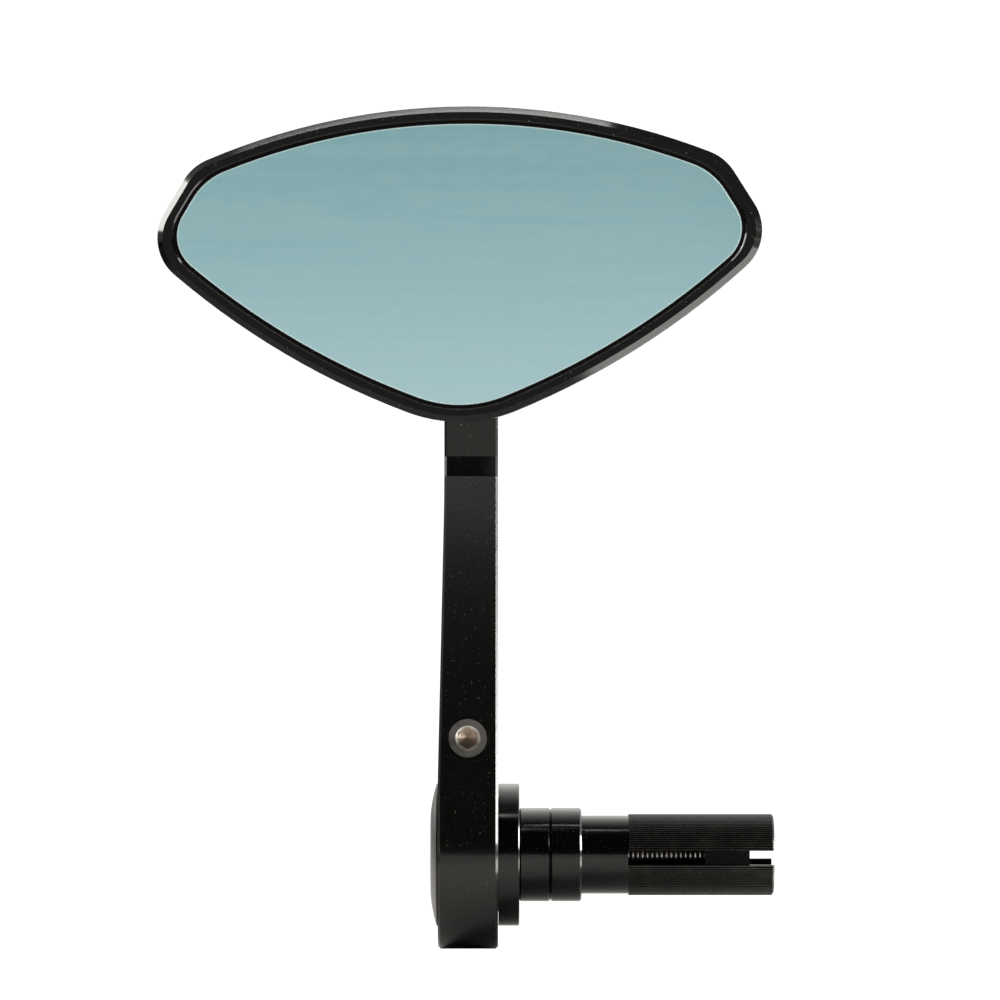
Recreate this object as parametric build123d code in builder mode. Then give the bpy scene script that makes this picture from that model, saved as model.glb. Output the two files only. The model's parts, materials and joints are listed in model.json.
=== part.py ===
from build123d import *
from math import cos, pi, radians, sin, sqrt
import os

os.makedirs("parts", exist_ok=True)

# A handlebar-end mirror: an expander plug goes into the open end of a handlebar, a forged arm is
# clamped on the plug's hub, and a mirror head turns on a ball stud at the top of the arm.
#
# Frame, in mm: +X runs inboard along the handlebar, +Z is up, the mirror glass looks toward -Y.
# The origin is on the handlebar's axis, in the face that the end of the bar butts against.

# ---- fits ----
RUN_GAP = 0.05
SNUG_GAP = 0.03

# ---- bar plug: stations along X, radii about X ----
COLLAR_WIDTH = 6.5
COLLAR_R = 9.8
COLLAR_CHAMFER = 0.35
NECK_R = 8.2
KNURL_START = 9.9
KNURL_END = 40.3
KNURL_R = 8.5
KNURL_RIDGES = 108
KNURL_DEPTH = 0.28
KNURL_LAND_SHARE = 0.34
SLEEVE_END_CHAMFER = 0.45
SLEEVE_ROOT = -14.9
SLOT_START = 9.7
SLOT_WIDTH = 3.0
SLOT_TURN = 1.8
HOLLOW_START = 7.0
HOLLOW_R = 5.0
TAPER_START = 24.0
TAPER_END = 36.5
TAPER_SMALL_R = 5.6
TAPER_LARGE_R = 7.4

# ---- wedge nut ----
NUT_START = 25.8
NUT_LENGTH = 9.3
NUT_KEY_WIDTH = 2.8
NUT_KEY_R = 7.75

# ---- M6 draw bolt and its washer ----
M6_R = 3.0
M6_ROOT_R = 2.45
M6_PITCH = 1.0
M6_GROOVE_WIDTH = 0.75
M6_CLEARANCE_R = 3.3
BOLT_HEAD_LEFT = -26.2
BOLT_HEAD_HEIGHT = 6.0
BOLT_HEAD_R = 5.0
BOLT_HEAD_CHAMFER = 0.4
BOLT_HEX_AF = 5.0
BOLT_HEX_DEPTH = 3.0
BOLT_LENGTH = 55.0
BOLT_THREAD_START = 8.0
BOLT_THREAD_TURNS = 26
BOLT_WASHER_THICK = 1.6
BOLT_WASHER_R = 5.35

# ---- hub ----
HUB_LEFT = -30.1
HUB_BOSS_R = 12.0
FLANGE_LEFT = -17.38
FLANGE_R = 14.9
FLANGE_CHAMFER = 0.2
PLUG_POCKET_R = 9.0
PLUG_POCKET_FLOOR = -25.6
HEAD_POCKET_R = 5.5

# ---- end cap and its ring ----
CAP_CROWN = 1.5
CAP_CROWN_R = 8.4
CAP_RIM_THICK = 0.25
CAP_SHOULDER = 1.15
CAP_SHOULDER_R = 11.2
CAP_PLUG_R = 8.9
CAP_PLUG_BORE_R = 6.3
CAP_PLUG_LENGTH = 4.0
RING_GROOVE_MID = -28.1
RING_GROOVE_WIDTH = 1.8
RING_GROOVE_R = 7.25
RING_SECTION_R = 0.8
RING_CENTRE_R = 8.12

# ---- arm: side profile in Y and Z, front outline in X and Z ----
EYE_R = 19.7
EYE_BORE_R = HUB_BOSS_R + RUN_GAP
FRONT_LEAN = 10.0
REAR_LEAN = 13.3
FRONT_ARC_R = 437.0
JOG_LOW_Z = 79.4
JOG_HIGH_Z = 83.6
JOG_STEP = 3.0
SEAT_Y = -11.8
SEAT_LOW_Z = 112.0
ARM_BACK_Y = -2.8
ARM_BACK_LOW_Z = 96.0
EYE_LEFT = -30.0
TAPER_LOW_Z = 15.0
TAPER_HIGH_Z = 75.0
TAPER_BEND_R = 300.0
TOP_HALF_WIDTH = 5.6
ARM_EDGE = 0.5

# ---- clamp slit and M5 clamp screw ----
SLIT_WIDTH = 1.6
SLIT_TOP_Z = 36.0
SLIT_RELIEF_R = 1.5
CLAMP_Z = 25.0
CLAMP_HEAD_R = 4.2
CLAMP_HEAD_HEIGHT = 5.0
CLAMP_HEAD_FACE_Y = -14.9
CLAMP_HEAD_CHAMFER = 0.2
CLAMP_BORE_R = 4.36
CLAMP_SHANK_R = 2.5
CLAMP_CLEARANCE_R = 2.75
CLAMP_THREAD_HOLE_R = 2.55
CLAMP_LENGTH = 20.0
CLAMP_HEX_AF = 4.0
CLAMP_HEX_DEPTH = 2.5
CLAMP_HEX_MOUTH_R = 2.6
CLAMP_HEX_DRILL_R = 1.95
CLAMP_HEX_POINT = 0.8
CLAMP_HOLE_END_Y = 12.5

# ---- ball joint, about the ball's centre ----
STUD_X = -23.05
STUD_Z = 123.0
BALL_R = 6.5
BALL_TO_SEAT = 11.2
BALL_NECK_R = 2.6
STUD_HEX_AF = 10.0
STUD_HEX_THICK = 2.6
STUD_SHANK_LENGTH = 16.5
STUD_THREAD_LENGTH = 7.0
STUD_THREAD_TURNS = 6
STUD_HOLE_R = 3.1
STUD_WASHER_R = 5.6
STUD_WASHER_THICK = 1.2
STUD_NUT_AF = 10.0
STUD_NUT_THICK = 5.0
STUD_NUT_CHAMFER = 0.6
LINER_THICK = 0.97
LINER_IN_R = BALL_R + SNUG_GAP
LINER_OUT_R = LINER_IN_R + LINER_THICK
CAVITY_R = LINER_OUT_R + SNUG_GAP
FRONT_LINER_ANGLES = (-90.0, -25.0)
REAR_LINER_ANGLES = (5.0, 40.0)
SPRING_HOLE_R = 2.0
SPRING_R = 5.2
SPRING_THICK = 0.4
SPRING_INNER_Y = -7.28
SPRING_OUTER_Y = -8.08
SPRING_POCKET_R = 5.4
SPRING_POCKET_Y = -8.5
RETAINER_THICK = 5.2
SOCKET_R = 13.0
SOCKET_CHAMFER = 0.8
RETAINER_MOUTH_CHAMFER = 0.5
SOCKET_SCREWS = 3
SOCKET_SCREW_CIRCLE_R = 10.4
SOCKET_SCREW_FIRST = 30.0
SOCKET_SCREW_R = 1.0
SOCKET_SCREW_HEAD_R = 1.85
SOCKET_SCREW_HEAD = 1.5
SOCKET_SCREW_LENGTH = 8.0
SOCKET_SCREW_SINK = 1.7
SOCKET_SCREW_HEX_AF = 1.5
SOCKET_SCREW_HEX_DEPTH = 0.9

# ---- mirror head: outline about its own centre line, front rim plane at -RIM_Y ----
HEAD_ROLL = -0.8
HEAD_YAW = -3.0
HEAD_CENTRE_X = -1.6
RIM_Y = 14.5
HOUSING_DEPTH = 7.5
HEAD_TOP_Z = 31.85
CORNER_X = 54.6
CORNER_Z = 20.45
TIP_X = 64.65
TIP_Z = 4.1
CHIN_Z = -34.35
CHIN_SAGITTA = 4.45
CORNER_ROUND = 10.1
TIP_ROUND = 9.9
CHIN_ROUND = 30.2
BACK_ROUND = 3.2
RIM_BEVEL = 1.2
RIM_INNER_CHAMFER = 0.3
POCKET_INSET = 2.85
POCKET_DEPTH = 3.6
GLASS_INSET = 3.6
GLASS_CORNER_ROUND = 13.2
GLASS_TIP_ROUND = 8.0
GLASS_CHIN_ROUND = 24.7
GLASS_RECESS = 0.6
GLASS_THICK = 2.0
GLASS_EDGE = 0.25
GASKET_RECESS = 0.35
PAD_INSET = 7.0


BALL_Y = SEAT_Y - BALL_TO_SEAT
HEAD_POSE = Location((STUD_X, BALL_Y, STUD_Z), (0, HEAD_ROLL, HEAD_YAW))


def save(builder, label):
    """Name a finished piece and write it to its own file."""
    builder.part.label = label
    export_step(builder.part, f"parts/{label}.step")


def save_on_head(builder, label):
    """Write a piece that was built about the ball's centre, set in the head's resting attitude."""
    placed = builder.part.moved(HEAD_POSE)
    placed.label = label
    export_step(placed, f"parts/{label}.step")


def y_plane(y):
    """Sketch plane at a given Y: local x is X, local y is Z, and a negative extrusion runs toward +Y."""
    return Plane.XZ.offset(-y)


def circles_of(builder, radius):
    """Circular edges of one radius on a part."""
    return builder.edges().filter_by(GeomType.CIRCLE).filter_by(lambda edge: abs(edge.radius - radius) < 1e-4)


def thread_points(start, turns, pitch, crest_r, root_r):
    """Closed V grooves with flat crests between them, one per pitch, from a start station on."""
    points = []
    for turn in range(turns):
        groove = start + turn * pitch
        points.append((groove, crest_r))
        points.append((groove + pitch * M6_GROOVE_WIDTH / 2, root_r))
        points.append((groove + pitch * M6_GROOVE_WIDTH, crest_r))
    return points


def bore_r_at(x):
    """Radius of the sleeve's tapered bore at a station along X."""
    share = (x - TAPER_START) / (TAPER_END - TAPER_START)
    return TAPER_SMALL_R + share * (TAPER_LARGE_R - TAPER_SMALL_R)


def head_profile(inset, corner_round, tip_round, chin_round):
    """Outline of the mirror head, inside the housing's edge by the inset and beside the ball's axis."""
    with BuildSketch() as profile:
        with BuildLine():
            ThreePointArc((-CORNER_X, CORNER_Z), (0, HEAD_TOP_Z), (CORNER_X, CORNER_Z))
            Line((CORNER_X, CORNER_Z), (TIP_X, TIP_Z))
            SagittaArc((TIP_X, TIP_Z), (0, CHIN_Z), CHIN_SAGITTA)
            SagittaArc((0, CHIN_Z), (-TIP_X, TIP_Z), CHIN_SAGITTA)
            Line((-TIP_X, TIP_Z), (-CORNER_X, CORNER_Z))
        make_face()
        if inset > 0:
            offset(amount=-inset, kind=Kind.INTERSECTION, mode=Mode.REPLACE)
        fillet(profile.vertices().sort_by(Axis.Y)[0], chin_round)
        fillet(profile.vertices().sort_by(Axis.Y)[-2:], corner_round)
        fillet(profile.vertices().sort_by(Axis.Y)[2:4], tip_round)
    return profile.sketch.moved(Location((HEAD_CENTRE_X, 0, 0)))


def glass_profile(inset):
    """Outline of the glass or of a layer parallel to its edge, inside the housing's edge by the inset."""
    closer = inset - GLASS_INSET
    return head_profile(
        inset, GLASS_CORNER_ROUND - closer, GLASS_TIP_ROUND - closer, GLASS_CHIN_ROUND - closer
    )


def liner_profile(first_angle, last_angle):
    """Section of a spherical seat between two latitudes, on the +X side of the ball's Y axis."""
    size = last_angle - first_angle
    with BuildSketch() as section:
        with BuildLine():
            inner = CenterArc((0, 0), LINER_IN_R, first_angle, size)
            outer = CenterArc((0, 0), LINER_OUT_R, first_angle, size)
            Line(inner @ 0, outer @ 0)
            Line(inner @ 1, outer @ 1)
        make_face()
    return section.sketch


# ================= bar plug =================

# Hub: boss that carries the arm, flange, register for the sleeve, pockets for the bolt head and cap.
HUB_SHOULDER = BOLT_HEAD_LEFT + BOLT_HEAD_HEIGHT + BOLT_WASHER_THICK + 2 * SNUG_GAP
FLANGE_RIGHT = -2 * COLLAR_WIDTH
with BuildPart() as hub:
    with BuildSketch(Plane.XZ):
        with BuildLine():
            Polyline(
                (HUB_LEFT, PLUG_POCKET_R),
                (HUB_LEFT, HUB_BOSS_R),
                (FLANGE_LEFT, HUB_BOSS_R),
                (FLANGE_LEFT, FLANGE_R),
                (FLANGE_RIGHT, FLANGE_R),
                (FLANGE_RIGHT, NECK_R + RUN_GAP),
                (SLEEVE_ROOT, NECK_R + RUN_GAP),
                (SLEEVE_ROOT, M6_CLEARANCE_R),
                (HUB_SHOULDER, M6_CLEARANCE_R),
                (HUB_SHOULDER, HEAD_POCKET_R),
                (PLUG_POCKET_FLOOR, HEAD_POCKET_R),
                (PLUG_POCKET_FLOOR, PLUG_POCKET_R),
                close=True,
            )
        make_face()
    revolve(axis=Axis.X)
    chamfer(circles_of(hub, FLANGE_R).sort_by(Axis.X)[-1], FLANGE_CHAMFER)
save(hub, "hub")

# Two equal spacer collars on the sleeve's neck, between the hub and the end of the bar.
for label, left in (("spacer_collar_outer", -2 * COLLAR_WIDTH), ("spacer_collar_inner", -COLLAR_WIDTH)):
    with BuildPart() as collar:
        with BuildSketch(Plane.YZ.offset(left)):
            Circle(COLLAR_R)
            Circle(NECK_R + RUN_GAP, mode=Mode.SUBTRACT)
        extrude(amount=COLLAR_WIDTH)
        chamfer(circles_of(collar, COLLAR_R), COLLAR_CHAMFER)
    save(collar, label)

# Expander sleeve: smooth neck, straight-knurled grip, stepped and tapered bore, one cut through both walls.
with BuildPart() as expander_sleeve:
    with BuildSketch(Plane.YZ.offset(KNURL_START)):
        Circle(KNURL_R)
        groove_half = pi * KNURL_R / KNURL_RIDGES * (1 - KNURL_LAND_SHARE)
        with PolarLocations(KNURL_R, KNURL_RIDGES, SLOT_TURN):
            Polygon(
                (-KNURL_DEPTH, 0),
                (0, -groove_half),
                (KNURL_DEPTH, -2 * groove_half),
                (KNURL_DEPTH, 2 * groove_half),
                (0, groove_half),
                align=None,
                mode=Mode.SUBTRACT,
            )
    extrude(amount=KNURL_END - KNURL_START)
    with BuildSketch(Plane.XZ):
        with BuildLine():
            Polyline(
                (KNURL_END - SLEEVE_END_CHAMFER, KNURL_R + RUN_GAP),
                (KNURL_END + RUN_GAP, KNURL_R + RUN_GAP),
                (KNURL_END + RUN_GAP, KNURL_R - SLEEVE_END_CHAMFER - RUN_GAP),
                close=True,
            )
        make_face()
    revolve(axis=Axis.X, mode=Mode.SUBTRACT)
    with BuildSketch(Plane.YZ.offset(SLEEVE_ROOT)):
        Circle(NECK_R)
    extrude(amount=KNURL_START - SLEEVE_ROOT)
    with BuildSketch(Plane.XZ):
        with BuildLine():
            Polyline(
                (SLEEVE_ROOT, 0),
                (SLEEVE_ROOT, M6_CLEARANCE_R),
                (HOLLOW_START, M6_CLEARANCE_R),
                (HOLLOW_START, HOLLOW_R),
                (TAPER_START, TAPER_SMALL_R),
                (TAPER_END, TAPER_LARGE_R),
                (KNURL_END, TAPER_LARGE_R),
                (KNURL_END, 0),
                close=True,
            )
        make_face()
    revolve(axis=Axis.X, mode=Mode.SUBTRACT)
    with BuildSketch(Plane.YZ.offset(SLOT_START)):
        Rectangle(3 * KNURL_R, SLOT_WIDTH, rotation=SLOT_TURN)
    extrude(amount=KNURL_END, mode=Mode.SUBTRACT)
save(expander_sleeve, "expander_sleeve")

# Wedge nut: cone with two keys that run in the sleeve's cut.
with BuildPart() as cone_nut:
    with BuildSketch(Plane.YZ.offset(NUT_START)):
        Rectangle(2 * NUT_KEY_R, NUT_KEY_WIDTH, rotation=SLOT_TURN)
    extrude(amount=NUT_LENGTH)
    with BuildSketch(Plane.XZ):
        with BuildLine():
            Polyline(
                (NUT_START, 0),
                (NUT_START, bore_r_at(NUT_START) - RUN_GAP),
                (NUT_START + NUT_LENGTH, bore_r_at(NUT_START + NUT_LENGTH) - RUN_GAP),
                (NUT_START + NUT_LENGTH, 0),
                close=True,
            )
        make_face()
    revolve(axis=Axis.X)
    with BuildSketch(Plane.YZ.offset(NUT_START)):
        Circle(M6_R + RUN_GAP)
    extrude(amount=NUT_LENGTH, mode=Mode.SUBTRACT)
save(cone_nut, "cone_nut")

# Draw bolt: M6 socket-cap screw, thread drawn as closed grooves one pitch apart.
BOLT_HEAD_RIGHT = BOLT_HEAD_LEFT + BOLT_HEAD_HEIGHT
BOLT_END = BOLT_HEAD_RIGHT + BOLT_LENGTH
with BuildPart() as draw_bolt:
    with BuildSketch(Plane.XZ):
        with BuildLine():
            Polyline(
                (BOLT_HEAD_LEFT, 0),
                (BOLT_HEAD_LEFT, BOLT_HEAD_R - BOLT_HEAD_CHAMFER),
                (BOLT_HEAD_LEFT + BOLT_HEAD_CHAMFER, BOLT_HEAD_R),
                (BOLT_HEAD_RIGHT, BOLT_HEAD_R),
                (BOLT_HEAD_RIGHT, M6_R),
                *thread_points(BOLT_THREAD_START, BOLT_THREAD_TURNS, M6_PITCH, M6_R, M6_ROOT_R),
                (BOLT_END - M6_GROOVE_WIDTH, M6_R),
                (BOLT_END, M6_ROOT_R),
                (BOLT_END, 0),
                close=True,
            )
        make_face()
    revolve(axis=Axis.X)
    with BuildSketch(Plane.YZ.offset(BOLT_HEAD_LEFT)):
        RegularPolygon(BOLT_HEX_AF / 2, 6, major_radius=False)
    extrude(amount=BOLT_HEX_DEPTH, mode=Mode.SUBTRACT)
save(draw_bolt, "draw_bolt")

with BuildPart() as draw_bolt_washer:
    with BuildSketch(Plane.YZ.offset(BOLT_HEAD_RIGHT + SNUG_GAP)):
        Circle(BOLT_WASHER_R)
        Circle(M6_CLEARANCE_R, mode=Mode.SUBTRACT)
    extrude(amount=BOLT_WASHER_THICK)
save(draw_bolt_washer, "draw_bolt_washer")

# End cap: shallow crown with a hollow plug, grooved for a rubber ring.
with BuildPart() as end_cap:
    with BuildSketch(Plane.XZ):
        with BuildLine():
            Polyline(
                (HUB_LEFT - CAP_RIM_THICK, FLANGE_R),
                (HUB_LEFT, FLANGE_R),
                (HUB_LEFT, CAP_PLUG_R),
                (RING_GROOVE_MID - RING_GROOVE_WIDTH / 2, CAP_PLUG_R),
                (RING_GROOVE_MID - RING_GROOVE_WIDTH / 2, RING_GROOVE_R),
                (RING_GROOVE_MID + RING_GROOVE_WIDTH / 2, RING_GROOVE_R),
                (RING_GROOVE_MID + RING_GROOVE_WIDTH / 2, CAP_PLUG_R),
                (HUB_LEFT + CAP_PLUG_LENGTH, CAP_PLUG_R),
                (HUB_LEFT + CAP_PLUG_LENGTH, CAP_PLUG_BORE_R),
                (HUB_LEFT, CAP_PLUG_BORE_R),
                (HUB_LEFT, 0),
                (HUB_LEFT - CAP_CROWN, 0),
                (HUB_LEFT - CAP_CROWN, CAP_CROWN_R),
            )
            ThreePointArc(
                (HUB_LEFT - CAP_CROWN, CAP_CROWN_R),
                (HUB_LEFT - CAP_SHOULDER, CAP_SHOULDER_R),
                (HUB_LEFT - CAP_RIM_THICK, FLANGE_R),
            )
        make_face()
    revolve(axis=Axis.X)
save(end_cap, "end_cap")

with BuildPart() as end_cap_ring:
    with BuildSketch(Plane.XZ):
        with Locations((RING_GROOVE_MID, RING_CENTRE_R)):
            Circle(RING_SECTION_R)
    revolve(axis=Axis.X)
save(end_cap_ring, "end_cap_ring")

# ================= arm =================

FRONT_FOOT = (-EYE_R * cos(radians(FRONT_LEAN)), EYE_R * sin(radians(FRONT_LEAN)))
REAR_FOOT = (EYE_R * cos(radians(REAR_LEAN)), EYE_R * sin(radians(REAR_LEAN)))
FRONT_TOP = (FRONT_FOOT[0] + FRONT_ARC_R * (1 - cos(radians(FRONT_LEAN))), JOG_LOW_Z)
REAR_RISE = JOG_LOW_Z - REAR_FOOT[1]
REAR_TOP = (REAR_FOOT[0] - REAR_RISE * sin(radians(REAR_LEAN)) / cos(radians(REAR_LEAN)), JOG_LOW_Z)
ARM_TOP_Z = STUD_Z + TOP_HALF_WIDTH
ARM_RIGHT = STUD_X + TOP_HALF_WIDTH
ARM_LEFT = STUD_X - TOP_HALF_WIDTH
EYE_MID = (EYE_LEFT + ARM_RIGHT) / 2

with BuildPart() as arm:
    with BuildSketch(Plane.YZ.offset(EYE_LEFT)):
        with BuildLine():
            SagittaArc(FRONT_FOOT, FRONT_TOP, -FRONT_ARC_R * (1 - cos(radians(FRONT_LEAN / 2))))
            Polyline(
                FRONT_TOP,
                (FRONT_TOP[0] + JOG_STEP, JOG_HIGH_Z),
                (SEAT_Y, SEAT_LOW_Z),
                (SEAT_Y, ARM_TOP_Z),
                (ARM_BACK_Y, ARM_TOP_Z),
                (ARM_BACK_Y, ARM_BACK_LOW_Z),
                REAR_TOP,
                REAR_FOOT,
                (0, 0),
                FRONT_FOOT,
            )
        make_face()
        Circle(EYE_R)
    extrude(amount=ARM_RIGHT - EYE_LEFT)
    with BuildSketch(Plane.XZ) as arm_front:
        with BuildLine():
            sides = Polyline(
                (ARM_RIGHT, STUD_Z),
                (ARM_RIGHT, -EYE_R),
                (EYE_LEFT, -EYE_R),
                (EYE_LEFT, TAPER_LOW_Z),
                (ARM_LEFT, TAPER_HIGH_Z),
                (ARM_LEFT, STUD_Z),
            )
            ThreePointArc(sides @ 1, (STUD_X, ARM_TOP_Z), sides @ 0)
        make_face()
        fillet(arm_front.vertices().sort_by(Axis.Y)[2:4], TAPER_BEND_R)
    extrude(amount=2 * EYE_R, both=True, mode=Mode.INTERSECT)
    chamfer(
        arm.edges().filter_by(Axis.X, reverse=True).filter_by(Axis.Y, reverse=True),
        ARM_EDGE,
    )
    # eye bore with the clamp slit above it
    with BuildSketch(Plane.YZ.offset(EYE_LEFT)):
        Circle(EYE_BORE_R)
        with Locations((0, SLIT_TOP_Z / 2)):
            Rectangle(SLIT_WIDTH, SLIT_TOP_Z)
        with Locations((0, SLIT_TOP_Z)):
            Circle(SLIT_RELIEF_R)
    extrude(amount=ARM_RIGHT - EYE_LEFT, mode=Mode.SUBTRACT)
    # clamp screw: counterbore, clearance in the front ear, tapped size in the rear ear
    for radius, first_y, last_y in (
        (CLAMP_BORE_R, -EYE_R, CLAMP_HEAD_FACE_Y + CLAMP_HEAD_HEIGHT),
        (CLAMP_CLEARANCE_R, -EYE_R, 0),
        (CLAMP_THREAD_HOLE_R, 0, CLAMP_HOLE_END_Y),
    ):
        with BuildSketch(y_plane(first_y)):
            with Locations((EYE_MID, CLAMP_Z)):
                Circle(radius)
        extrude(amount=first_y - last_y, mode=Mode.SUBTRACT)
    with BuildSketch(y_plane(SEAT_Y)):
        with Locations((STUD_X, STUD_Z)):
            Circle(STUD_HOLE_R)
    extrude(amount=SEAT_Y - ARM_BACK_Y, mode=Mode.SUBTRACT)
save(arm, "arm")

# Clamp screw: M5 socket-cap screw along Y.
with BuildPart() as clamp_screw:
    with BuildSketch(y_plane(CLAMP_HEAD_FACE_Y)):
        with Locations((EYE_MID, CLAMP_Z)):
            Circle(CLAMP_HEAD_R)
    extrude(amount=-CLAMP_HEAD_HEIGHT + SNUG_GAP)
    chamfer(circles_of(clamp_screw, CLAMP_HEAD_R).sort_by(Axis.Y)[0], CLAMP_HEAD_CHAMFER)
    with BuildSketch(y_plane(CLAMP_HEAD_FACE_Y)):
        with Locations((EYE_MID, CLAMP_Z)):
            Circle(CLAMP_SHANK_R)
    extrude(amount=-CLAMP_HEAD_HEIGHT - CLAMP_LENGTH)
    with BuildSketch(y_plane(CLAMP_HEAD_FACE_Y)):
        with Locations((EYE_MID, CLAMP_Z)):
            RegularPolygon(CLAMP_HEX_AF / 2, 6, major_radius=False, rotation=30)
    extrude(amount=-CLAMP_HEX_DEPTH, mode=Mode.SUBTRACT)
    # countersunk mouth of the hexagon and the drill's cone at its bottom
    socket_face = (EYE_MID, CLAMP_HEAD_FACE_Y, CLAMP_Z)
    with BuildSketch(Plane(socket_face, x_dir=(1, 0, 0), z_dir=(0, 0, 1))):
        with BuildLine():
            Polyline(
                (0, 0),
                (CLAMP_HEX_MOUTH_R, 0),
                (CLAMP_HEX_DRILL_R, CLAMP_HEX_MOUTH_R - CLAMP_HEX_DRILL_R),
                (CLAMP_HEX_DRILL_R, CLAMP_HEX_DEPTH),
                (0, CLAMP_HEX_DEPTH + CLAMP_HEX_POINT),
                close=True,
            )
        make_face()
    revolve(axis=Axis(socket_face, (0, 1, 0)), mode=Mode.SUBTRACT)
save(clamp_screw, "clamp_screw")

# Ball stud: ball, neck, hexagon against the arm, threaded shank through it.
SHANK_END_Y = SEAT_Y + STUD_SHANK_LENGTH
with BuildPart() as ball_stud:
    with BuildSketch(Plane((STUD_X, BALL_Y, STUD_Z), x_dir=(1, 0, 0), z_dir=(0, 0, 1))):
        with BuildLine():
            neck_y = sqrt(BALL_R**2 - BALL_NECK_R**2)
            thread_start = BALL_TO_SEAT + STUD_SHANK_LENGTH - STUD_THREAD_LENGTH
            teeth = thread_points(thread_start, STUD_THREAD_TURNS, M6_PITCH, M6_R, M6_ROOT_R)
            ThreePointArc((0, -BALL_R), (BALL_R, 0), (BALL_NECK_R, neck_y))
            Polyline(
                (BALL_NECK_R, neck_y),
                (BALL_NECK_R, BALL_TO_SEAT - STUD_HEX_THICK),
                (M6_R, BALL_TO_SEAT - STUD_HEX_THICK),
                *((radius, station) for station, radius in teeth),
                (M6_R, BALL_TO_SEAT + STUD_SHANK_LENGTH - M6_GROOVE_WIDTH),
                (M6_ROOT_R, BALL_TO_SEAT + STUD_SHANK_LENGTH),
                (0, BALL_TO_SEAT + STUD_SHANK_LENGTH),
                (0, -BALL_R),
            )
        make_face()
    revolve(axis=Axis((STUD_X, BALL_Y, STUD_Z), (0, 1, 0)))
    with BuildSketch(y_plane(SEAT_Y)):
        with Locations((STUD_X, STUD_Z)):
            RegularPolygon(STUD_HEX_AF / 2, 6, major_radius=False)
    extrude(amount=STUD_HEX_THICK)
save(ball_stud, "ball_stud")

with BuildPart() as stud_washer:
    with BuildSketch(y_plane(ARM_BACK_Y)):
        with Locations((STUD_X, STUD_Z)):
            Circle(STUD_WASHER_R)
            Circle(STUD_HOLE_R, mode=Mode.SUBTRACT)
    extrude(amount=-STUD_WASHER_THICK)
save(stud_washer, "stud_washer")

with BuildPart() as stud_nut:
    with BuildSketch(y_plane(ARM_BACK_Y + STUD_WASHER_THICK)):
        with Locations((STUD_X, STUD_Z)):
            RegularPolygon(STUD_NUT_AF / 2, 6, major_radius=False)
    extrude(amount=-STUD_NUT_THICK)
    with BuildSketch(Plane((STUD_X, ARM_BACK_Y + STUD_WASHER_THICK, STUD_Z), x_dir=(1, 0, 0), z_dir=(0, 0, 1))):
        nut_corner_r = STUD_NUT_AF / sqrt(3)
        with BuildLine():
            Polyline(
                (0, 0),
                (nut_corner_r, 0),
                (nut_corner_r, STUD_NUT_THICK - STUD_NUT_CHAMFER),
                (nut_corner_r - 2 * STUD_NUT_CHAMFER, STUD_NUT_THICK),
                (0, STUD_NUT_THICK),
                close=True,
            )
        make_face()
    revolve(axis=Axis((STUD_X, ARM_BACK_Y, STUD_Z), (0, 1, 0)), mode=Mode.INTERSECT)
    with BuildSketch(y_plane(ARM_BACK_Y)):
        with Locations((STUD_X, STUD_Z)):
            Circle(M6_R + RUN_GAP)
    extrude(amount=-STUD_NUT_THICK - STUD_WASHER_THICK, mode=Mode.SUBTRACT)
save(stud_nut, "stud_nut")

# ================= mirror head, built about the ball's centre =================

SOCKET_REAR = Plane((0, RETAINER_THICK, 0), x_dir=(1, 0, 0), z_dir=(0, 1, 0))

with BuildPart() as head_housing:
    with BuildSketch(y_plane(-RIM_Y)):
        add(head_profile(0, CORNER_ROUND, TIP_ROUND, CHIN_ROUND))
    extrude(amount=-HOUSING_DEPTH)
    fillet(head_housing.faces().sort_by(Axis.Y)[-1].edges(), BACK_ROUND)
    chamfer(head_housing.faces().sort_by(Axis.Y)[0].edges(), RIM_BEVEL)
    with BuildSketch(y_plane(-RIM_Y)):
        add(glass_profile(POCKET_INSET))
    extrude(amount=-POCKET_DEPTH, mode=Mode.SUBTRACT)
    chamfer(head_housing.faces().sort_by(Axis.Y)[0].inner_wires()[0].edges(), RIM_INNER_CHAMFER)
    # round socket behind the back wall, with the front seat of the ball joint in it
    with BuildSketch(y_plane(POCKET_DEPTH - RIM_Y)):
        Circle(SOCKET_R)
    extrude(amount=POCKET_DEPTH - RIM_Y)
    Sphere(CAVITY_R, mode=Mode.SUBTRACT)
    with BuildSketch(y_plane(SPRING_POCKET_Y)):
        Circle(SPRING_POCKET_R)
    extrude(amount=SPRING_POCKET_Y, mode=Mode.SUBTRACT)
    with Locations(SOCKET_REAR):
        with PolarLocations(SOCKET_SCREW_CIRCLE_R, SOCKET_SCREWS, SOCKET_SCREW_FIRST):
            Hole(SOCKET_SCREW_R + SNUG_GAP, depth=SOCKET_SCREW_SINK + SOCKET_SCREW_LENGTH + RUN_GAP)
save_on_head(head_housing, "head_housing")

with BuildPart() as socket_retainer:
    with BuildSketch(Plane.XZ):
        Circle(SOCKET_R)
    extrude(amount=-RETAINER_THICK)
    chamfer(circles_of(socket_retainer, SOCKET_R).sort_by(Axis.Y)[-1], SOCKET_CHAMFER)
    Sphere(CAVITY_R, mode=Mode.SUBTRACT)
    mouth_r = sqrt(CAVITY_R**2 - RETAINER_THICK**2)
    chamfer(circles_of(socket_retainer, mouth_r), RETAINER_MOUTH_CHAMFER)
    with Locations(SOCKET_REAR):
        with PolarLocations(SOCKET_SCREW_CIRCLE_R, SOCKET_SCREWS, SOCKET_SCREW_FIRST):
            CounterBoreHole(
                SOCKET_SCREW_R + SNUG_GAP, SOCKET_SCREW_HEAD_R + RUN_GAP, SOCKET_SCREW_SINK
            )
save_on_head(socket_retainer, "socket_retainer")

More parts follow.
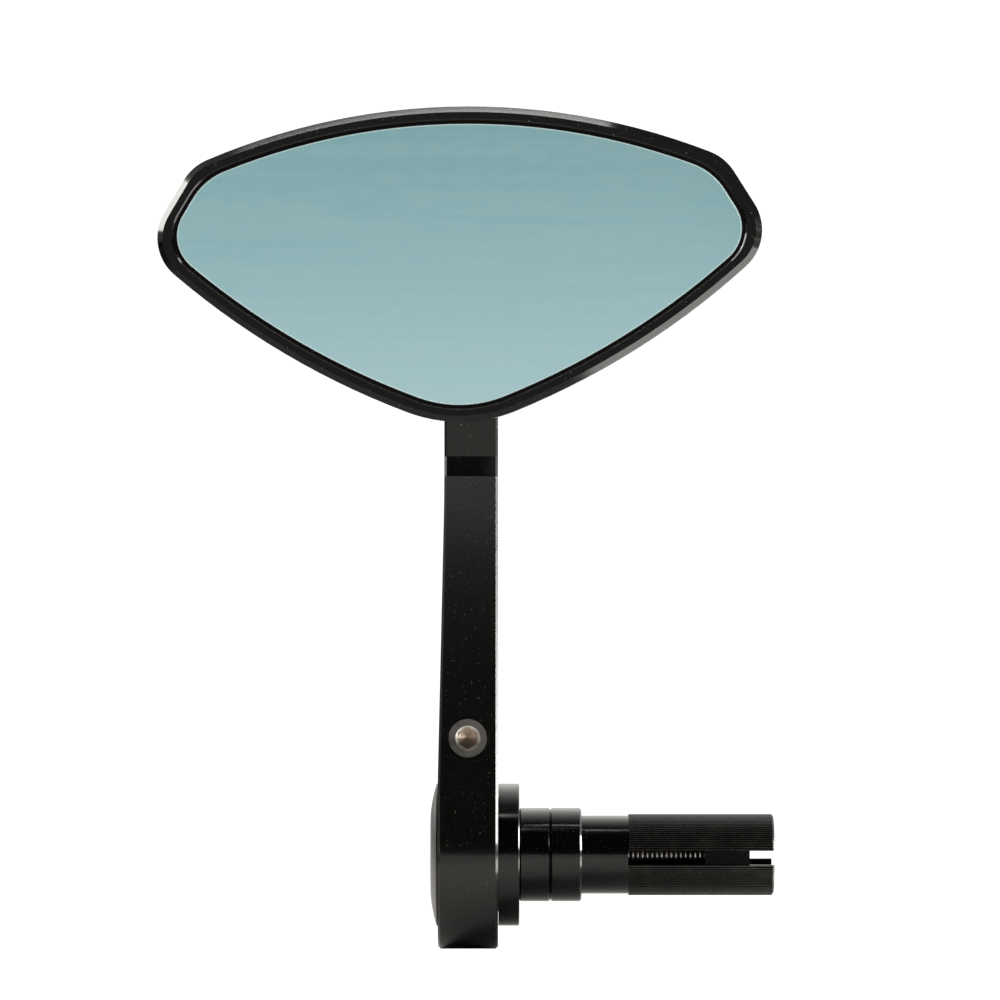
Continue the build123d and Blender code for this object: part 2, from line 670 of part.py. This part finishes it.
with BuildPart() as socket_screws:
    head_under = SOCKET_REAR.offset(-SOCKET_SCREW_SINK)
    with BuildSketch(head_under):
        with PolarLocations(SOCKET_SCREW_CIRCLE_R, SOCKET_SCREWS, SOCKET_SCREW_FIRST):
            Circle(SOCKET_SCREW_HEAD_R)
    extrude(amount=SOCKET_SCREW_HEAD)
    with BuildSketch(head_under):
        with PolarLocations(SOCKET_SCREW_CIRCLE_R, SOCKET_SCREWS, SOCKET_SCREW_FIRST):
            Circle(SOCKET_SCREW_R)
    extrude(amount=-SOCKET_SCREW_LENGTH)
    with BuildSketch(head_under.offset(SOCKET_SCREW_HEAD)):
        with PolarLocations(SOCKET_SCREW_CIRCLE_R, SOCKET_SCREWS, SOCKET_SCREW_FIRST):
            RegularPolygon(SOCKET_SCREW_HEX_AF / 2, 6, major_radius=False)
    extrude(amount=-SOCKET_SCREW_HEX_DEPTH, mode=Mode.SUBTRACT)
save_on_head(socket_screws, "socket_screws")

for label, latitudes in (
    ("ball_liner_front", FRONT_LINER_ANGLES),
    ("ball_liner_rear", REAR_LINER_ANGLES),
):
    with BuildPart() as liner:
        with BuildSketch(Plane.XY):
            add(liner_profile(*latitudes))
        revolve(axis=Axis.Y)
    save_on_head(liner, label)

with BuildPart() as preload_spring:
    with BuildSketch(Plane.XY):
        with BuildLine():
            Polyline(
                (SPRING_HOLE_R, SPRING_INNER_Y),
                (SPRING_R, SPRING_OUTER_Y),
                (SPRING_R, SPRING_OUTER_Y - SPRING_THICK),
                (SPRING_HOLE_R, SPRING_INNER_Y - SPRING_THICK),
                close=True,
            )
        make_face()
    revolve(axis=Axis.Y)
save_on_head(preload_spring, "preload_spring")

GLASS_FRONT_Y = GLASS_RECESS - RIM_Y
GLASS_BACK_Y = GLASS_FRONT_Y + GLASS_THICK
POCKET_FLOOR_Y = POCKET_DEPTH - RIM_Y
with BuildPart() as mirror_glass:
    with BuildSketch(y_plane(GLASS_FRONT_Y)):
        add(glass_profile(GLASS_INSET))
    extrude(amount=-GLASS_THICK)
    chamfer(mirror_glass.faces().sort_by(Axis.Y)[0].edges(), GLASS_EDGE)
save_on_head(mirror_glass, "mirror_glass")

with BuildPart() as glass_adhesive_pad:
    with BuildSketch(y_plane(GLASS_BACK_Y)):
        add(glass_profile(PAD_INSET))
    extrude(amount=GLASS_BACK_Y - POCKET_FLOOR_Y)
save_on_head(glass_adhesive_pad, "glass_adhesive_pad")

with BuildPart() as glass_gasket:
    with BuildSketch(y_plane(GASKET_RECESS - RIM_Y)):
        add(glass_profile(POCKET_INSET + SNUG_GAP))
        add(glass_profile(GLASS_INSET - SNUG_GAP), mode=Mode.SUBTRACT)
    extrude(amount=GASKET_RECESS - RIM_Y - POCKET_FLOOR_Y)
save_on_head(glass_gasket, "glass_gasket")
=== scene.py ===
import json
import math

import bpy
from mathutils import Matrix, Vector


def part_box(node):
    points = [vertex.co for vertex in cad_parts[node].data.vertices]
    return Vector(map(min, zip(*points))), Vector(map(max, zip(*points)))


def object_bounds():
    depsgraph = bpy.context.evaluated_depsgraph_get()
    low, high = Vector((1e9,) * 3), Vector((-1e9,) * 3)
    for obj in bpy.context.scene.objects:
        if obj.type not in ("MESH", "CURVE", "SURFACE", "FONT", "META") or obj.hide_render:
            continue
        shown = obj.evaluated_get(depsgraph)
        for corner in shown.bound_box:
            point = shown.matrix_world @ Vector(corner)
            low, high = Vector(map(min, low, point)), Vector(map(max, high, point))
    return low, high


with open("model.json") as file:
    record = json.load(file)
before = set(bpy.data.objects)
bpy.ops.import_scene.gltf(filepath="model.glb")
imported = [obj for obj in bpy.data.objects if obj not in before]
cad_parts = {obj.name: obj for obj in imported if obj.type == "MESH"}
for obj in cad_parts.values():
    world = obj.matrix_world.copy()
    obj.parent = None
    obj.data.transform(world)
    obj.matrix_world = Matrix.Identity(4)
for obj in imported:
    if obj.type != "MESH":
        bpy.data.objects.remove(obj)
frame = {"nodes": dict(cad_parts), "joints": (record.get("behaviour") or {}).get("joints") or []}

# Looks of the handlebar-end mirror: one node material for each finish, a white studio, and the camera.
# Metres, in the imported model's own frame: +X inboard along the bar, +Z up, the glass looks toward -Y.

NODES = frame["nodes"]
JOINTS = {joint["name"]: joint for joint in frame["joints"]}
CAD_LOW, CAD_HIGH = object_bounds()
CENTRE = (CAD_LOW + CAD_HIGH) / 2
GLASS_LOW, GLASS_HIGH = (Vector(corner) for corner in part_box("mirror_glass"))
HEAD_FRONT = -Vector(JOINTS["head_roll"]["axis"])
HEAD_YAW = math.atan2(HEAD_FRONT.x, -HEAD_FRONT.y)
SCREW_AT = Vector(JOINTS["clamp_screw_turn"]["pos_m"])
BALL_AT = Vector(JOINTS["head_roll"]["pos_m"])
UP = Vector((0.0, 0.0, 1.0))
MM = 0.001

# ---- view ----
FRAME_WIDTH = 0.210
CAMERA_DISTANCE = 1.300
SENSOR_WIDTH = 36.0
FRAMING_SHIFT = Vector((0.0064, 0.0, 0.0069))

# ---- knurled grip of the sleeve ----
KNURL_START_X = 9.9 * MM
KNURL_ROOT_R = 8.15 * MM
KNURL_LAND_R = 8.45 * MM

# ---- clamp screw ----
SOCKET_MOUTH_R = 2.58 * MM
SOCKET_MOUTH_Y = -14.2 * MM
SOCKET_FLOOR_Y = -11.0 * MM

# ---- black finish: edges that are worn, dust, and depths of grain and of cutter lines ----
WORN_EDGE_R = 0.18 * MM
EDGE_SHARPNESS = 0.04
WORN_COLOUR = (0.060, 0.056, 0.052)
DUST_COLOUR = (0.11, 0.10, 0.09)
GRAIN_DEPTH = 0.0012 * MM
CUTTER_LINE_DEPTH = 0.0035 * MM

# ---- mirror tint with a painted reflection, paler at the chin than at the top, and its streaks ----
CHIN_TINT_PAINTED_REFLECTION = (0.55, 0.84, 0.90)
TOP_TINT_PAINTED_REFLECTION = (0.31, 0.605, 0.66)
TINT_STREAK = (0.80, 0.94, 0.95)

# ---- floor: painted shade on the left, which reflections see, and the camera sees a pale glow ----
FLOOR_RADIUS = 6.0
FLOOR_CORNERS = 96
FLOOR_WHITE = (0.70, 0.69, 0.66)
FLOOR_PAINTED_SHADE = (0.08, 0.08, 0.08)
FLOOR_PAINTED_SHADE_X = -0.40
FLOOR_WHITE_X = -0.12
FLOOR_GLOW = 1.27
FLOOR_GLOW_TO_CAMERA = 0.8

# ---- studio: the white that the camera sees, and the pale panel that the glass reflects ----
STUDIO_WHITE = (1.0, 0.98, 0.95)
BACKDROP_WHITE = (1.0, 1.0, 1.0)
BACKDROP_GLOW = 1.1
PANEL_RIGHT = (-0.045, -0.062)
PANEL_LEFT = (-0.26, -0.19)
PANEL_TOP = (12.0, 6.0)

# ---- lights ----
SIDE_LIGHT_DISTANCE = 1.1
LEFT_BEARING = (-94.0, 24.0)
RIGHT_BEARING = (97.0, 9.6)
OVER_HEAD_AT = Vector((-0.040, -0.0465, 0.192))
OVER_FLANGE_AT = Vector((-0.022, -0.108, 0.270))
CARD_AT = Vector((0.225, -0.04, CAD_LOW.z + 2 * MM))


# ================= node helpers =================

class Nodes:
    """A node tree with short calls for adding nodes and joining them."""

    def __init__(self, tree):
        self.tree = tree
        tree.nodes.clear()

    def add(self, kind, **settings):
        """Adds a node and sets its properties."""
        node = self.tree.nodes.new(kind)
        for name, value in settings.items():
            setattr(node, name, value)
        return node

    def feed(self, socket, value):
        """Sets an input socket to a constant, or links it to an output socket."""
        if isinstance(value, bpy.types.NodeSocket):
            self.tree.links.new(value, socket)
        else:
            socket.default_value = value

    def math(self, operation, first, second=0.0):
        """One sum or function of one or two numbers."""
        node = self.add("ShaderNodeMath", operation=operation)
        self.feed(node.inputs[0], first)
        self.feed(node.inputs[1], second)
        return node.outputs[0]

    def ramp(self, value, low, high, out_low=0.0, out_high=1.0, smooth=True):
        """Maps a value from one range to another, clamped, with soft or straight ends."""
        node = self.add("ShaderNodeMapRange")
        node.interpolation_type = "SMOOTHSTEP" if smooth else "LINEAR"
        for socket, number in zip(node.inputs[:5], (value, low, high, out_low, out_high)):
            self.feed(socket, number)
        return node.outputs[0]

    def blend(self, factor, first, second):
        """Mixes two numbers."""
        node = self.add("ShaderNodeMix", data_type="FLOAT")
        for socket, value in zip(node.inputs[:1] + node.inputs[2:4], (factor, first, second)):
            self.feed(socket, value)
        return node.outputs[0]

    def mix(self, factor, first, second):
        """Mixes two colours."""
        node = self.add("ShaderNodeMix", data_type="RGBA")
        self.feed(node.inputs[0], factor)
        for socket, colour in ((node.inputs[6], first), (node.inputs[7], second)):
            self.feed(socket, colour if isinstance(colour, bpy.types.NodeSocket) else (*colour, 1.0))
        return node.outputs[2]

    def noise(self, scale, detail=2.0, stretch=(1.0, 1.0, 1.0), distortion=0.0):
        """Noise in object space, from 0 to 1. A large stretch on an axis squeezes the noise along it."""
        place = self.add("ShaderNodeTexCoord")
        mapping = self.add("ShaderNodeMapping")
        mapping.inputs["Scale"].default_value = stretch
        self.feed(mapping.inputs["Vector"], place.outputs["Object"])
        node = self.add("ShaderNodeTexNoise")
        self.feed(node.inputs["Vector"], mapping.outputs[0])
        self.feed(node.inputs["Scale"], scale)
        self.feed(node.inputs["Detail"], detail)
        self.feed(node.inputs["Distortion"], distortion)
        return node.outputs[0]

    def place(self, axis):
        """One object-space coordinate, in metres."""
        where = self.add("ShaderNodeTexCoord")
        parts = self.add("ShaderNodeSeparateXYZ")
        self.feed(parts.inputs[0], where.outputs["Object"])
        return parts.outputs[axis]

    def bump(self, height, depth, normal=None):
        """Bump from a 0 to 1 height, its full depth in metres."""
        node = self.add("ShaderNodeBump")
        node.inputs["Strength"].default_value = 1.0
        node.inputs["Distance"].default_value = depth
        self.feed(node.inputs["Height"], height)
        if normal is not None:
            self.feed(node.inputs["Normal"], normal)
        return node.outputs[0]

    def edge(self, radius):
        """1 on sharp edges and 0 away from them, from a rounded normal compared with the true one."""
        rounded = self.add("ShaderNodeBevel", samples=6)
        rounded.inputs["Radius"].default_value = radius
        true = self.add("ShaderNodeNewGeometry")
        dot = self.add("ShaderNodeVectorMath", operation="DOT_PRODUCT")
        self.feed(dot.inputs[0], rounded.outputs[0])
        self.feed(dot.inputs[1], true.outputs["Normal"])
        return self.ramp(dot.outputs["Value"], 1.0 - EDGE_SHARPNESS, 1.0 - 5 * EDGE_SHARPNESS)


def material(name, build):
    """A new material: build(nodes, shader) wires a Principled shader that is joined to the output."""
    made = bpy.data.materials.new(name)
    made.use_nodes = True
    nodes = Nodes(made.node_tree)
    output = nodes.add("ShaderNodeOutputMaterial")
    shader = nodes.add("ShaderNodeBsdfPrincipled")
    nodes.feed(output.inputs["Surface"], shader.outputs[0])
    build(nodes, shader)
    return made


def set_constants(shader, **values):
    """Sets constants on the shader's own sockets."""
    for name, value in values.items():
        shader.inputs[name.replace("_", " ")].default_value = value


# ================= finishes =================

def anodised(stretch=(1.0, 1.0, 1.0), line_scale=0.0, roughness=0.13, dye=0.0005, index=1.5):
    """Black anodised aluminium: dark dye, dust specks, worn edges, and lines left by the cutter."""

    def build(nodes, shader):
        cloud = nodes.noise(60.0, detail=4.0)
        worn = nodes.edge(WORN_EDGE_R)
        patchy = nodes.ramp(nodes.noise(420.0, detail=3.0), 0.42, 0.68)
        wear = nodes.math("MULTIPLY", worn, patchy)
        dust = nodes.ramp(nodes.noise(2600.0, detail=1.0), 0.735, 0.76)
        dyed = nodes.mix(cloud, (dye, dye, dye * 0.9), (dye * 2.2, dye * 2.1, dye * 1.9))
        edged = nodes.mix(wear, dyed, WORN_COLOUR)
        nodes.feed(shader.inputs["Base Color"], nodes.mix(dust, edged, DUST_COLOUR))
        grain = nodes.noise(1500.0, detail=2.0)
        rough = nodes.ramp(grain, 0.2, 0.8, roughness * 0.8, roughness * 1.25, smooth=False)
        nodes.feed(shader.inputs["Roughness"], nodes.math("ADD", rough, nodes.math("MULTIPLY", wear, 0.12)))
        skin = nodes.bump(grain, GRAIN_DEPTH)
        if line_scale:
            lines = nodes.noise(line_scale, detail=3.0, stretch=stretch)
            skin = nodes.bump(lines, CUTTER_LINE_DEPTH, skin)
        nodes.feed(shader.inputs["Normal"], skin)
        set_constants(shader, Metallic=0.0, IOR=index)

    return build


def steel(tint=(0.62, 0.59, 0.55), roughness=0.2):
    """Stainless steel: metal with fine turning lines, and soft stains."""

    def build(nodes, shader):
        stain = nodes.noise(300.0, detail=4.0)
        darker = tuple(channel * 0.62 for channel in tint)
        nodes.feed(shader.inputs["Base Color"], nodes.mix(nodes.ramp(stain, 0.35, 0.7), tint, darker))
        grain = nodes.noise(2400.0, detail=3.0)
        nodes.feed(shader.inputs["Roughness"], nodes.ramp(grain, 0.2, 0.8, roughness * 0.7, roughness * 1.5))
        nodes.feed(shader.inputs["Normal"], nodes.bump(grain, 0.004 * MM))
        set_constants(shader, Metallic=1.0)

    return build


def plain(colour, roughness, grain_scale, grain_depth, index=1.45):
    """Rubber, plastic or foam: mottled colour with a fine grain."""

    def build(nodes, shader):
        grain = nodes.noise(grain_scale, detail=4.0)
        lighter = tuple(channel * 1.6 + 0.002 for channel in colour)
        nodes.feed(shader.inputs["Base Color"], nodes.mix(grain, colour, lighter))
        nodes.feed(shader.inputs["Roughness"], nodes.ramp(grain, 0.2, 0.8, roughness * 0.85, roughness * 1.1))
        nodes.feed(shader.inputs["Normal"], nodes.bump(grain, grain_depth))
        set_constants(shader, Metallic=0.0, IOR=index)

    return build


def tinted_mirror(nodes, shader):
    """Blue-tinted mirror: level streaks and a faint mottle in the coating, and a painted reflection that
    makes it paler toward the chin.
    """
    high = nodes.ramp(nodes.place("Z"), GLASS_LOW.z, GLASS_HIGH.z, smooth=False)
    streaks = nodes.noise(16.0, detail=6.0, stretch=(1.0, 1.0, 26.0), distortion=0.4)
    mottle = nodes.noise(240.0, detail=3.0, stretch=(1.0, 1.0, 2.0))
    shade = nodes.math("ADD", nodes.math("MULTIPLY", streaks, 0.65), nodes.math("MULTIPLY", mottle, 0.35))
    # painted reflection: by height, the tint runs from the pale chin end to the darker top end
    pale = nodes.mix(high, CHIN_TINT_PAINTED_REFLECTION, TOP_TINT_PAINTED_REFLECTION)
    tint = nodes.mix(nodes.ramp(shade, 0.3, 0.7, 0.0, 0.16), pale, TINT_STREAK)
    nodes.feed(shader.inputs["Base Color"], tint)
    nodes.feed(shader.inputs["Roughness"], nodes.ramp(shade, 0.3, 0.7, 0.05, 0.09))
    set_constants(shader, Metallic=1.0)


def glass_edge_painted_glow(nodes, shader):
    """Ground edge of the glass, pale green, with a painted glow: emission that draws a pale line along the
    edge.
    """
    grain = nodes.noise(3000.0, detail=2.0)
    nodes.feed(shader.inputs["Base Color"], nodes.mix(grain, (0.62, 0.80, 0.78), (0.80, 0.93, 0.90)))
    nodes.feed(shader.inputs["Roughness"], nodes.ramp(grain, 0.2, 0.8, 0.35, 0.5))
    # painted glow: emission on the glass edge, though the edge is no lamp
    set_constants(shader, Metallic=0.0, Emission_Color=(0.70, 0.92, 0.90, 1.0), Emission_Strength=0.5)


FINISHES = {
    "black_anodised": material("anodised_black", anodised()),
    "stainless_steel": material("steel_stainless", steel()),
    "black_rubber": material("rubber_black", plain((0.001, 0.001, 0.001), 0.42, 900.0, 0.006 * MM, 1.2)),
    "seat_polymer": material("polymer_seat", plain((0.62, 0.60, 0.55), 0.4, 700.0, 0.003 * MM)),
    "mirror_glass": material("glass_tinted", tinted_mirror),
    "foam_adhesive": material("foam_tape", plain((0.03, 0.03, 0.03), 0.9, 2600.0, 0.03 * MM)),
    "satin_cap": material("anodised_satin", anodised(roughness=0.3, dye=0.003)),
}

for node in NODES.values():
    slot = node.data.materials[0].name
    node.data.materials[0] = FINISHES[slot]


def second_finish(name, finish, chosen):
    """Gives one more finish to the faces of a node that a test chooses by their centre and normal."""
    mesh = NODES[name].data
    mesh.materials.append(finish)
    for face in mesh.polygons:
        if chosen(face.center, face.normal):
            face.material_index = len(mesh.materials) - 1


# dark steel for the clamp screw, also painted on the thread flanks as shade
DARK_STEEL_AND_FLANK_SHADE = material("dark_steel_and_flank_shade", steel((0.16, 0.155, 0.15), 0.34))

NODES["arm"].data.materials[0] = material("anodised_milled", anodised(roughness=0.14, dye=0.0026))
NODES["head_housing"].data.materials[0] = material(
    "anodised_machined", anodised(stretch=(0.04, 1.0, 1.0), line_scale=3600.0, index=1.32)
)
NODES["clamp_screw"].data.materials[0] = DARK_STEEL_AND_FLANK_SHADE
# cone nut: a dim copy of the anodise that hardly reflects, painted shade for the nut deep in the slot
NODES["cone_nut"].data.materials[0] = material(
    "anodised_dimmed_painted_shade", anodised(roughness=0.5, dye=0.0012, index=1.15)
)


def off_axis(centre, axis_at):
    """Distance of a point from an axis along Y."""
    return math.hypot(centre.x - axis_at.x, centre.z - axis_at.z)


# lower lip of the rim's inner chamfer as a dulled copy of the anodise, painted shade; ground edge of the
# glass with a painted glow; grip of the sleeve with painted light on its ridges
second_finish(
    "head_housing",
    material("anodised_dulled_painted_shade", anodised(roughness=0.6, dye=0.003, index=1.2)),
    lambda centre, normal: 0.3 < normal.dot(HEAD_FRONT) < 0.95 and normal.z > 0.25 and centre.z < BALL_AT.z,
)
# ground edge of the glass: pale green with a painted glow
second_finish(
    "mirror_glass",
    material("ground_edge_painted_glow", glass_edge_painted_glow),
    lambda centre, normal: 0.3 < normal.dot(HEAD_FRONT) < 0.95,
)
# grip of the sleeve: lit and shaded copies of the anodise, painted light as a lighter dye on the ridges and
# painted shade in the grooves
for label, finish, least_r in (
    ("anodised_groove_painted_shade", anodised(roughness=0.30, dye=0.0015, index=1.3), KNURL_ROOT_R),
    ("anodised_ridge_painted_light", anodised(roughness=0.30, dye=0.014), KNURL_LAND_R),
):
    second_finish(
        "expander_sleeve",
        material(label, finish),
        lambda centre, normal: centre.x > KNURL_START_X and math.hypot(centre.y, centre.z) > least_r,
    )
# clamp screw: countersunk mouth with a painted sheen, its steel paler than real steel so it reads bright all
# round; then the warm hexagon under it
second_finish(
    "clamp_screw",
    material("steel_painted_sheen", steel((1.0, 0.96, 0.90), 0.5)),
    lambda centre, normal: off_axis(centre, SCREW_AT) < SOCKET_MOUTH_R and centre.y < SOCKET_MOUTH_Y,
)
second_finish(
    "clamp_screw",
    material("steel_warm", steel((0.55, 0.44, 0.35), 0.38)),
    lambda centre, normal: (
        off_axis(centre, SCREW_AT) < SOCKET_MOUTH_R and SOCKET_MOUTH_Y < centre.y < SOCKET_FLOOR_Y
    ),
)
# flanks of the threads get the dark steel as painted shade
for threaded, along in (("draw_bolt", Vector((1.0, 0.0, 0.0))), ("ball_stud", Vector((0.0, 1.0, 0.0)))):
    second_finish(threaded, DARK_STEEL_AND_FLANK_SHADE, lambda centre, normal: 0.2 < abs(normal.dot(along)) < 0.95)


# ================= stage, light and camera =================

def floor():
    """Round pale floor at the object's lowest point. Its left is painted dark, a painted shade that
    reflections see.
    """
    mesh = bpy.data.meshes.new("floor")
    ring = [
        (FLOOR_RADIUS * math.cos(turn), FLOOR_RADIUS * math.sin(turn), CAD_LOW.z)
        for turn in (2 * math.pi * corner / FLOOR_CORNERS for corner in range(FLOOR_CORNERS))
    ]
    mesh.from_pydata(ring, [], [range(FLOOR_CORNERS)])
    made = bpy.data.objects.new("floor", mesh)
    bpy.context.scene.collection.objects.link(made)
    paint = bpy.data.materials.new("floor_white")
    paint.use_nodes = True
    nodes = Nodes(paint.node_tree)
    output = nodes.add("ShaderNodeOutputMaterial")
    matt = nodes.add("ShaderNodeBsdfDiffuse")
    # painted shade: the floor's colour darkens toward the left, and only reflections see it
    across = nodes.ramp(nodes.place("X"), FLOOR_PAINTED_SHADE_X, FLOOR_WHITE_X)
    nodes.feed(matt.inputs["Color"], nodes.mix(across, FLOOR_PAINTED_SHADE, FLOOR_WHITE))
    glow = nodes.add("ShaderNodeEmission")
    glow.inputs["Strength"].default_value = FLOOR_GLOW
    path = nodes.add("ShaderNodeLightPath")
    both = nodes.add("ShaderNodeMixShader")
    nodes.feed(both.inputs[0], nodes.math("MULTIPLY", path.outputs["Is Camera Ray"], FLOOR_GLOW_TO_CAMERA))
    nodes.feed(both.inputs[1], matt.outputs[0])
    nodes.feed(both.inputs[2], glow.outputs[0])
    nodes.feed(output.inputs["Surface"], both.outputs[0])
    mesh.materials.append(paint)


def studio_world():
    """White studio seen by the camera, and for reflections a dark front with a glow at the horizon."""
    world = bpy.data.worlds.new("studio")
    world.use_nodes = True
    bpy.context.scene.world = world
    nodes = Nodes(world.node_tree)
    place = nodes.add("ShaderNodeTexCoord")
    axes = nodes.add("ShaderNodeSeparateXYZ")
    nodes.feed(axes.inputs[0], place.outputs["Generated"])
    height = nodes.math("ARCSINE", axes.outputs["Z"])
    height = nodes.math("DEGREES", height)
    behind = nodes.ramp(axes.outputs["Y"], -0.15, 0.35)
    aside = nodes.ramp(nodes.math("ABSOLUTE", axes.outputs["X"]), 0.10, 0.35)
    # front: bright at the horizon, falling fast straight ahead and slower to the sides
    straight = nodes.ramp(height, 0.2, 3.4, 1.25, 0.12)
    sides = nodes.ramp(height, -1.0, 9.0, 0.95, 0.08)
    front = nodes.blend(aside, straight, sides)
    front = nodes.math("MULTIPLY", front, nodes.ramp(height, 4.0, 7.5, 1.0, 0.05))
    front = nodes.math("ADD", front, nodes.ramp(height, 9.5, 12.5, 0.0, 0.02))
    # a pale panel a little to the left of the camera, which only the glass looks at
    panel = nodes.ramp(axes.outputs["X"], *PANEL_RIGHT)
    panel = nodes.math("MULTIPLY", panel, nodes.ramp(axes.outputs["X"], *PANEL_LEFT))
    panel = nodes.math("MULTIPLY", panel, nodes.ramp(height, *PANEL_TOP))
    front = nodes.blend(panel, front, nodes.ramp(height, 0.0, 4.5, 0.68, 0.60))
    # back: brighter with height, then darker overhead
    back = nodes.ramp(height, 5.0, 35.0, 0.9, 1.9)
    back = nodes.math("MULTIPLY", back, nodes.ramp(height, 40.0, 85.0, 1.0, 0.35))
    level = nodes.blend(behind, front, back)
    path = nodes.add("ShaderNodeLightPath")
    seen = nodes.add("ShaderNodeBackground")
    seen.inputs["Color"].default_value = (*BACKDROP_WHITE, 1.0)
    seen.inputs["Strength"].default_value = BACKDROP_GLOW
    lit = nodes.add("ShaderNodeBackground")
    lit.inputs["Color"].default_value = (*STUDIO_WHITE, 1.0)
    nodes.feed(lit.inputs["Strength"], level)
    both = nodes.add("ShaderNodeMixShader")
    nodes.feed(both.inputs[0], path.outputs["Is Camera Ray"])
    nodes.feed(both.inputs[1], lit.outputs[0])
    nodes.feed(both.inputs[2], seen.outputs[0])
    output = nodes.add("ShaderNodeOutputWorld")
    nodes.feed(output.inputs["Surface"], both.outputs[0])


def bearing(azimuth, elevation):
    """Direction away from the object. Azimuth 0 is the camera's side and 90 is the right."""
    turn, rise = math.radians(azimuth), math.radians(elevation)
    return Vector((math.sin(turn) * math.cos(rise), -math.cos(turn) * math.cos(rise), math.sin(rise)))


def softbox(name, centre, away, width, height, radiance, turn=0.0):
    """Area light that shines against the direction away, turned about Z. The camera doesn't see it."""
    lamp = bpy.data.lights.new(name, "AREA")
    lamp.shape = "RECTANGLE"
    lamp.size = width
    lamp.size_y = height
    lamp.color = STUDIO_WHITE
    lamp.energy = radiance * width * height * math.pi
    made = bpy.data.objects.new(name, lamp)
    made.location = centre
    made.rotation_euler = away.to_track_quat("Z", "Y").to_euler()
    made.rotation_euler.z += turn
    made.visible_camera = False
    bpy.context.scene.collection.objects.link(made)


def camera():
    """Level camera in front of the glass."""
    lens = bpy.data.cameras.new("camera")
    lens.sensor_width = SENSOR_WIDTH
    lens.lens = SENSOR_WIDTH * CAMERA_DISTANCE / FRAME_WIDTH
    made = bpy.data.objects.new("camera", lens)
    aim = CENTRE + FRAMING_SHIFT
    made.location = (aim.x, -CAMERA_DISTANCE, aim.z)
    made.rotation_euler = (math.pi / 2, 0.0, 0.0)
    bpy.context.scene.collection.objects.link(made)
    bpy.context.scene.camera = made


floor()
studio_world()
LEFT = bearing(*LEFT_BEARING)
RIGHT = bearing(*RIGHT_BEARING)
softbox("softbox_over_head", OVER_HEAD_AT, UP, width=0.104, height=0.026, radiance=15.0, turn=HEAD_YAW)
softbox("softbox_over_flange", OVER_FLANGE_AT, UP, width=0.016, height=0.026, radiance=5.0)
softbox("softbox_left", CENTRE + LEFT * SIDE_LIGHT_DISTANCE, LEFT, width=0.30, height=0.42, radiance=24.0)
softbox("softbox_right", CENTRE + RIGHT * SIDE_LIGHT_DISTANCE, RIGHT, width=0.27, height=0.30, radiance=40.0)
softbox("card_right", CARD_AT, -UP, width=0.33, height=0.30, radiance=7.5)
camera()

bpy.context.scene.view_settings.view_transform = "Standard"
